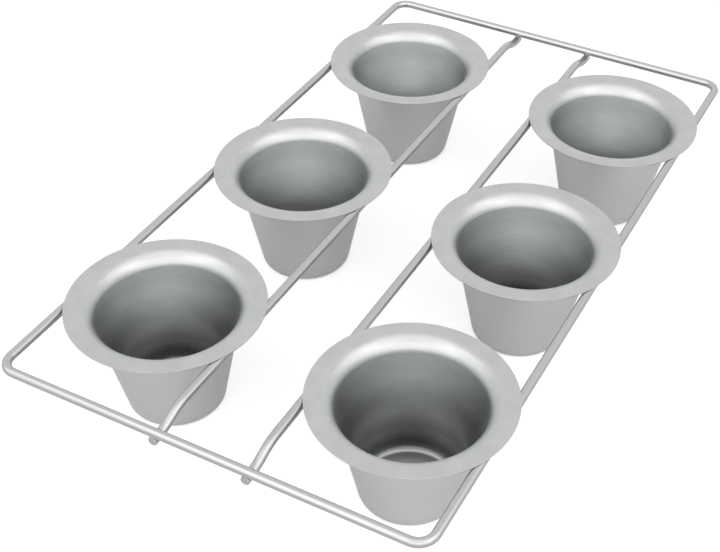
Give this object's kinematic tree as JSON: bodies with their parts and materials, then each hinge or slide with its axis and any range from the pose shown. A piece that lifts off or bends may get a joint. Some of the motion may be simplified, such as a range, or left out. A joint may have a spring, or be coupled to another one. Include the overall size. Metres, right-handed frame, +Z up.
{
  "type": "popover pan",
  "caption": "Popover pan: deep tapered cups with wide flat rims, hung in two rows in a rectangular frame of round wire.",
  "frame": {"origin": "centre of the pan on the surface it stands on", "axes": "+Z up, +Y along the rows of three cups, +X across the two rows"},
  "size_m": [0.236, 0.413, 0.063],
  "materials": {
    "cup_sheet": "satin silver, fine even grain, on drawn sheet steel",
    "frame_wire": "satin silver on round drawn steel wire",
    "weld_metal": "dull silver resistance weld"
  },
  "bodies": {
    "root": {"frame_loop": "frame_wire", "loop_butt_weld": "weld_metal", "inner_rail_left": "frame_wire", "inner_rail_right": "frame_wire", "rail_weld_near_left": "weld_metal", "rail_weld_near_right": "weld_metal", "rail_weld_far_left": "weld_metal", "rail_weld_far_right": "weld_metal", "cup_left_near": "cup_sheet", "cup_left_middle": "cup_sheet", "cup_left_far": "cup_sheet", "cup_right_near": "cup_sheet", "cup_right_middle": "cup_sheet", "cup_right_far": "cup_sheet", "rim_welds_left_near": "weld_metal", "rim_welds_left_middle": "weld_metal", "rim_welds_left_far": "weld_metal", "rim_welds_right_near": "weld_metal", "rim_welds_right_middle": "weld_metal", "rim_welds_right_far": "weld_metal"}
  },
  "joints": []
}
